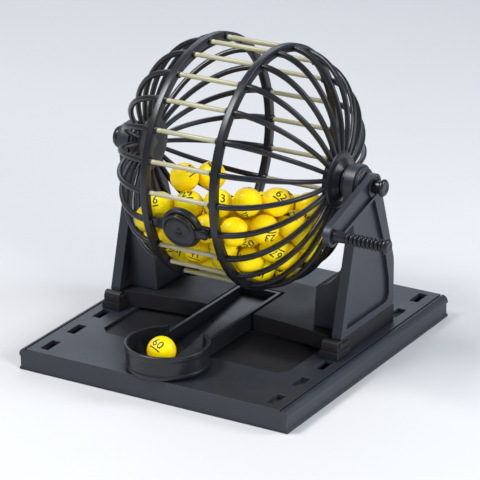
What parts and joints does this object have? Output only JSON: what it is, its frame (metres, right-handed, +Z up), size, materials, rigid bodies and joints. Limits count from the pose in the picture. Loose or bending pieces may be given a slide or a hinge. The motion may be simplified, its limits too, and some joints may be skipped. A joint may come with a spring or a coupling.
{
  "type": "bingo cage",
  "caption": "Hand-cranked tabletop bingo cage: a ribbed ball cage on two supports over a base tray, with an exit port, a sloping chute and a ball cup.",
  "frame": {"origin": "centre of the base tray's underside", "axes": "+X along the cage axis towards the crank, +Y to the back, +Z up; the ball cup is at the front (-Y)"},
  "size_m": [0.189, 0.1765, 0.1645],
  "materials": {
    "charcoal": "satin moulded charcoal plastic with blue-grey reflections",
    "black": "satin-gloss black moulded plastic",
    "cream": "pale cream-yellow moulded plastic",
    "yellow": "bright yellow plastic with black printed numbers"
  },
  "bodies": {
    "base": {"base_tray": "charcoal", "stand_deck": "black", "ball_chute": "black", "left_support": "charcoal", "right_support": "charcoal"},
    "cage": {"left_dome": "black", "right_dome": "black", "cage_rod_01": "cream", "cage_rod_02": "cream", "cage_rod_03": "cream", "cage_rod_04": "cream", "cage_rod_05": "cream", "cage_rod_06": "cream", "cage_rod_07": "cream", "cage_rod_08": "cream", "cage_rod_09": "cream", "cage_rod_10": "cream", "cage_rod_11": "cream", "cage_rod_12": "cream", "cage_rod_13": "cream", "cage_rod_14": "cream", "cage_rod_15": "cream", "cage_rod_16": "cream", "cage_rod_17": "cream", "cage_rod_18": "cream", "cage_rod_19": "cream", "cage_rod_20": "cream", "cage_rod_21": "cream", "cage_rod_22": "cream", "cage_rod_23": "cream", "exit_port": "black", "shutter_rivet": "black", "left_axle": "black", "crank_shaft": "black", "crank_arm": "charcoal", "crank_cap": "black", "grip_pin": "black"},
    "shutter": {"port_shutter": "black"},
    "grip": {"crank_grip": "black"},
    "balls": {"ball_heap": "yellow", "loose_ball_01": "yellow", "loose_ball_02": "yellow", "loose_ball_03": "yellow", "loose_ball_04": "yellow", "loose_ball_05": "yellow", "loose_ball_06": "yellow", "loose_ball_07": "yellow", "loose_ball_08": "yellow", "loose_ball_09": "yellow", "loose_ball_10": "yellow", "loose_ball_11": "yellow", "loose_ball_12": "yellow"},
    "drawn": {"drawn_ball": "yellow"}
  },
  "joints": [
    {"name": "cage_spin", "type": "hinge", "parent": "base", "child": "cage", "pos_m": [0, 0.006, 0.1], "axis": [1, 0, 0], "continuous": true},
    {"name": "grip_spin", "type": "hinge", "parent": "cage", "child": "grip", "pos_m": [0.0936, -0.0365, 0.0875], "axis": [1, 0, 0], "continuous": true},
    {"name": "shutter_swing", "type": "hinge", "parent": "cage", "child": "shutter", "pos_m": [0.0142, -0.05552, 0.08236], "axis": [0, -0.9613, -0.2756], "range_deg": [0, 80]},
    {"name": "heap_shift", "type": "hinge", "parent": "base", "child": "balls", "pos_m": [0, 0.006, 0.1], "axis": [1, 0, 0], "range_deg": [-5, 40]},
    {"name": "ball_roll", "type": "slide", "parent": "base", "child": "drawn", "axis": [0, 0.9994, 0.0349], "range_m": [0, 0.058]}
  ]
}
